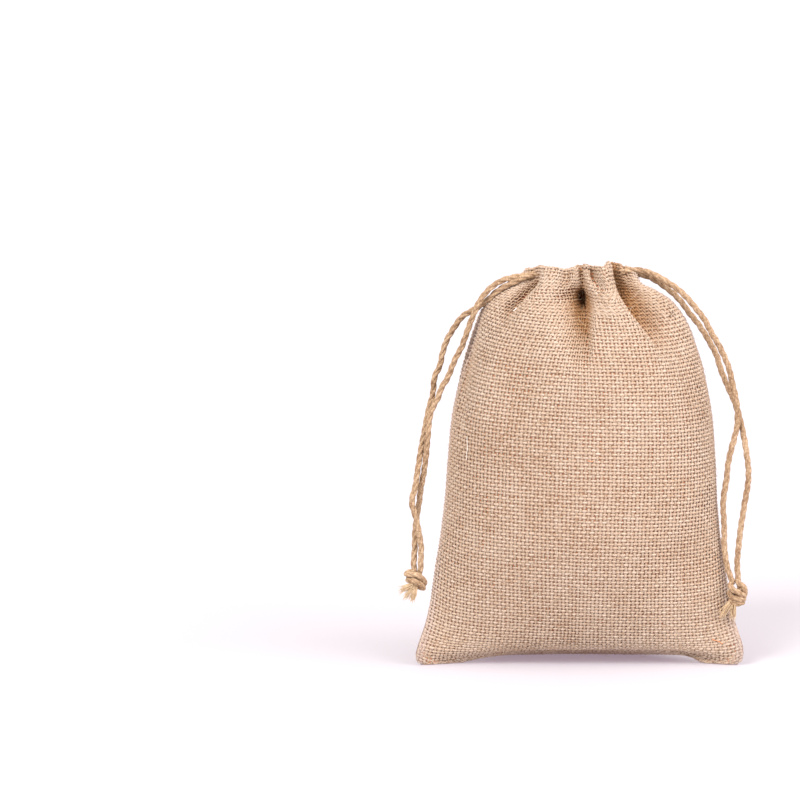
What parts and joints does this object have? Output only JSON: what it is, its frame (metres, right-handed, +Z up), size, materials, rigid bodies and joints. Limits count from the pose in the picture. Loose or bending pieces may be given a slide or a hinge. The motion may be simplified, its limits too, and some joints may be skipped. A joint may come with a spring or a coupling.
{
  "type": "jute drawstring bag",
  "caption": "Small upright jute bag with a full belly, eared lower corners, a gathered mouth and knotted cords hanging at both sides.",
  "frame": {"origin": "on the floor, under the middle of the bag without its cords", "axes": "+Z up, from the base to the mouth; the front panel with the deep pinch faces -Y; +X is to the right when it is seen from the front"},
  "size_m": [0.1584, 0.0729, 0.1812],
  "materials": {
    "jute_cloth": "open plain weave of natural jute, matt",
    "jute_cord": "three-ply twisted jute twine, matt"
  },
  "bodies": {
    "root": {"bag_cloth": "jute_cloth", "right_cord_front": "jute_cord", "right_cord_back": "jute_cord", "left_cord_front": "jute_cord", "left_cord_back": "jute_cord", "right_knot": "jute_cord", "left_knot": "jute_cord"}
  },
  "joints": []
}
